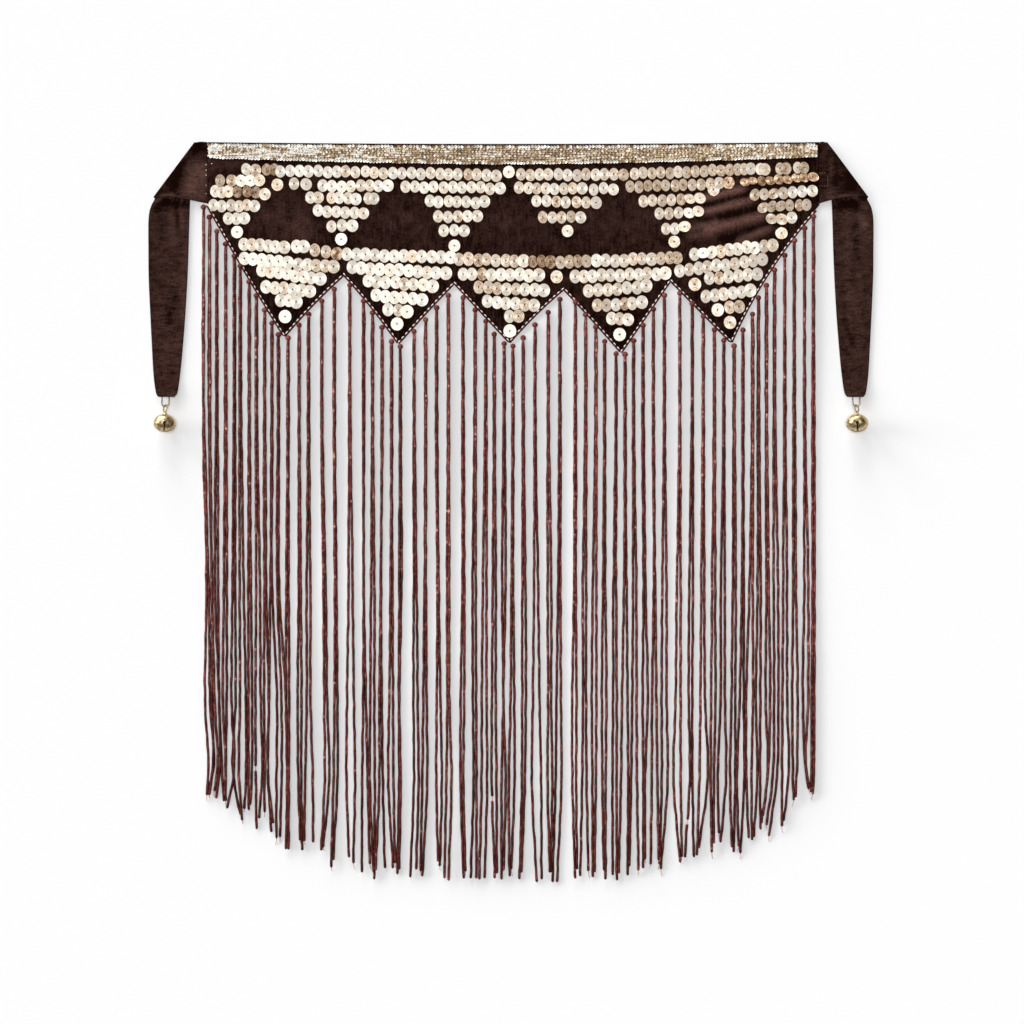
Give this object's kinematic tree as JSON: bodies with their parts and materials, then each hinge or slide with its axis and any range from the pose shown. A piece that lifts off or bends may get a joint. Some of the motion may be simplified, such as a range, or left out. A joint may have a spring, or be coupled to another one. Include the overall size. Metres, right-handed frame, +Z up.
{
  "type": "belly dance hip belt",
  "caption": "Hip belt to be tied on for belly dancing: a velvet panel with a pointed hem, sequin trim, paillettes, long beaded fringe, side ties and small bells.",
  "frame": {"origin": "middle of the belt's box, on the surface that it is laid on", "axes": "+Z up out of the cloth's front, +Y towards the waist edge, +X to the right as the front is seen"},
  "size_m": [0.7246, 0.7398, 0.0215],
  "materials": {
    "velvet": "dark chocolate velvet pile with a reddish sheen",
    "sequin_trim": "braid of small pale gold sequins, glittering",
    "seed_beads": "glossy red-brown glass seed beads on thread",
    "brass": "polished pale brass",
    "steel": "plain rolled steel shot"
  },
  "bodies": {
    "belt": {"belt_panel": "velvet", "sequin_trim": "sequin_trim", "tie_left": "velvet", "tie_right": "velvet", "fringe_1": "seed_beads", "fringe_2": "seed_beads", "fringe_3": "seed_beads", "fringe_4": "seed_beads", "fringe_5": "seed_beads", "jump_link_left": "brass", "jump_link_right": "brass"},
    "bell_left": {"bell_left": "brass", "bell_loop_left": "brass", "bell_pea_left": "steel"},
    "bell_right": {"bell_right": "brass", "bell_loop_right": "brass", "bell_pea_right": "steel"}
  },
  "joints": [
    {"name": "bell_left_swing", "type": "hinge", "parent": "belt", "child": "bell_left", "pos_m": [-0.345, 0.1052, 0.0056], "axis": [-1, 0, 0], "range_deg": [0, 100]},
    {"name": "bell_right_swing", "type": "hinge", "parent": "belt", "child": "bell_right", "pos_m": [0.345, 0.1052, 0.0056], "axis": [-1, 0, 0], "range_deg": [0, 100]}
  ]
}
